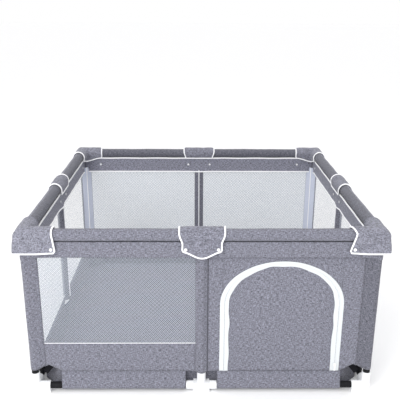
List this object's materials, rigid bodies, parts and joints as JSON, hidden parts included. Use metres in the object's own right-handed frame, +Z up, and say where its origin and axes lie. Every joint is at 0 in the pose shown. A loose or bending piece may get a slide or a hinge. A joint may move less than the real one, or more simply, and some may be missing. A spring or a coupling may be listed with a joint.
{
  "type": "playpen",
  "caption": "Square fabric playpen: tube frame with padded top rolls, mesh walls, padded joint covers and an arched zip door.",
  "frame": {"origin": "on the floor at the centre of the pen", "axes": "+Z up; the zip door is in the -Y side, right of its middle as seen from outside; +X is to the right from there"},
  "size_m": [1.2836, 1.2836, 0.648],
  "materials": {
    "heather_fabric": "heather gray woven polyester",
    "cover_fabric": "lighter heather gray padded polyester with white piping",
    "padded_roll_fabric": "heather gray woven polyester over foam",
    "white_mesh": "fine white knitted mesh",
    "floor_fabric": "gray woven polyester floor",
    "black_steel_tube": "black powder coat",
    "white_plastic": "white moulded plastic",
    "black_webbing": "black woven webbing",
    "white_zip_tape": "white zip tape with nylon coil",
    "white_zip_metal": "white enamel"
  },
  "bodies": {
    "frame": {"bottom_rails_back": "black_steel_tube", "bottom_rails_front": "black_steel_tube", "bottom_rails_left": "black_steel_tube", "bottom_rails_right": "black_steel_tube", "corner_foot_back_left": "white_plastic", "corner_foot_back_right": "white_plastic", "corner_foot_front_left": "white_plastic", "corner_foot_front_right": "white_plastic", "corner_post_back_left": "black_steel_tube", "corner_post_back_right": "black_steel_tube", "corner_post_front_left": "black_steel_tube", "corner_post_front_right": "black_steel_tube", "corner_post_sleeves": "heather_fabric", "corner_straps": "black_webbing", "door_surround": "heather_fabric", "floor_sheet": "floor_fabric", "mesh_wall_back": "white_mesh", "mesh_wall_front": "white_mesh", "mesh_wall_left": "white_mesh", "mesh_wall_right": "white_mesh", "mid_foot_back": "white_plastic", "mid_foot_front": "white_plastic", "mid_foot_left": "white_plastic", "mid_foot_right": "white_plastic", "mid_post_back": "black_steel_tube", "mid_post_front": "black_steel_tube", "mid_post_left": "black_steel_tube", "mid_post_right": "black_steel_tube", "mid_post_sleeves": "heather_fabric", "padded_rolls_back": "padded_roll_fabric", "padded_rolls_front": "padded_roll_fabric", "padded_rolls_left": "padded_roll_fabric", "padded_rolls_right": "padded_roll_fabric", "rail_tunnels": "heather_fabric", "snap_studs": "white_plastic", "top_band_back": "heather_fabric", "top_band_front": "heather_fabric", "top_band_left": "heather_fabric", "top_band_right": "heather_fabric", "top_corner_joints": "white_plastic", "top_mid_joints": "white_plastic", "top_rails_back": "black_steel_tube", "top_rails_front": "black_steel_tube", "top_rails_left": "black_steel_tube", "top_rails_right": "black_steel_tube", "wall_skirts": "heather_fabric", "zip_half_wall": "white_zip_tape"},
    "door": {"door_panel": "heather_fabric", "zip_half_door": "white_zip_tape"},
    "zip_slider": {"zip_slider": "white_zip_metal"},
    "zip_pull": {"zip_pull": "white_zip_metal"},
    "corner_cover_back_left": {"corner_cover_back_left": "cover_fabric"},
    "corner_cover_back_right": {"corner_cover_back_right": "cover_fabric"},
    "corner_cover_front_left": {"corner_cover_front_left": "cover_fabric"},
    "corner_cover_front_right": {"corner_cover_front_right": "cover_fabric"},
    "mid_cover_back": {"mid_cover_back": "cover_fabric"},
    "mid_cover_front": {"mid_cover_front": "cover_fabric"},
    "mid_cover_left": {"mid_cover_left": "cover_fabric"},
    "mid_cover_right": {"mid_cover_right": "cover_fabric"}
  },
  "joints": [
    {"name": "door_fold", "type": "hinge", "parent": "frame", "child": "door", "pos_m": [0.285, -0.61305, 0.0846], "axis": [1, 0, 0], "range_deg": [0, 100]},
    {"name": "zip_slide", "type": "slide", "parent": "door", "child": "zip_slider", "axis": [0, 0, 1], "range_m": [0, 0.235]},
    {"name": "pull_swing", "type": "hinge", "parent": "zip_slider", "child": "zip_pull", "pos_m": [0.4885, -0.61845, 0.1137], "axis": [-1, 0, 0], "range_deg": [0, 150]},
    {"name": "corner_lift_back_left", "type": "slide", "parent": "frame", "child": "corner_cover_back_left", "axis": [0, 0, 1], "range_m": [0, 0.12]},
    {"name": "corner_lift_back_right", "type": "slide", "parent": "frame", "child": "corner_cover_back_right", "axis": [0, 0, 1], "range_m": [0, 0.12]},
    {"name": "corner_lift_front_left", "type": "slide", "parent": "frame", "child": "corner_cover_front_left", "axis": [0, 0, 1], "range_m": [0, 0.12]},
    {"name": "corner_lift_front_right", "type": "slide", "parent": "frame", "child": "corner_cover_front_right", "axis": [0, 0, 1], "range_m": [0, 0.12]},
    {"name": "mid_lift_back", "type": "slide", "parent": "frame", "child": "mid_cover_back", "axis": [0, 0, 1], "range_m": [0, 0.12]},
    {"name": "mid_lift_front", "type": "slide", "parent": "frame", "child": "mid_cover_front", "axis": [0, 0, 1], "range_m": [0, 0.12]},
    {"name": "mid_lift_left", "type": "slide", "parent": "frame", "child": "mid_cover_left", "axis": [0, 0, 1], "range_m": [0, 0.12]},
    {"name": "mid_lift_right", "type": "slide", "parent": "frame", "child": "mid_cover_right", "axis": [0, 0, 1], "range_m": [0, 0.12]}
  ]
}
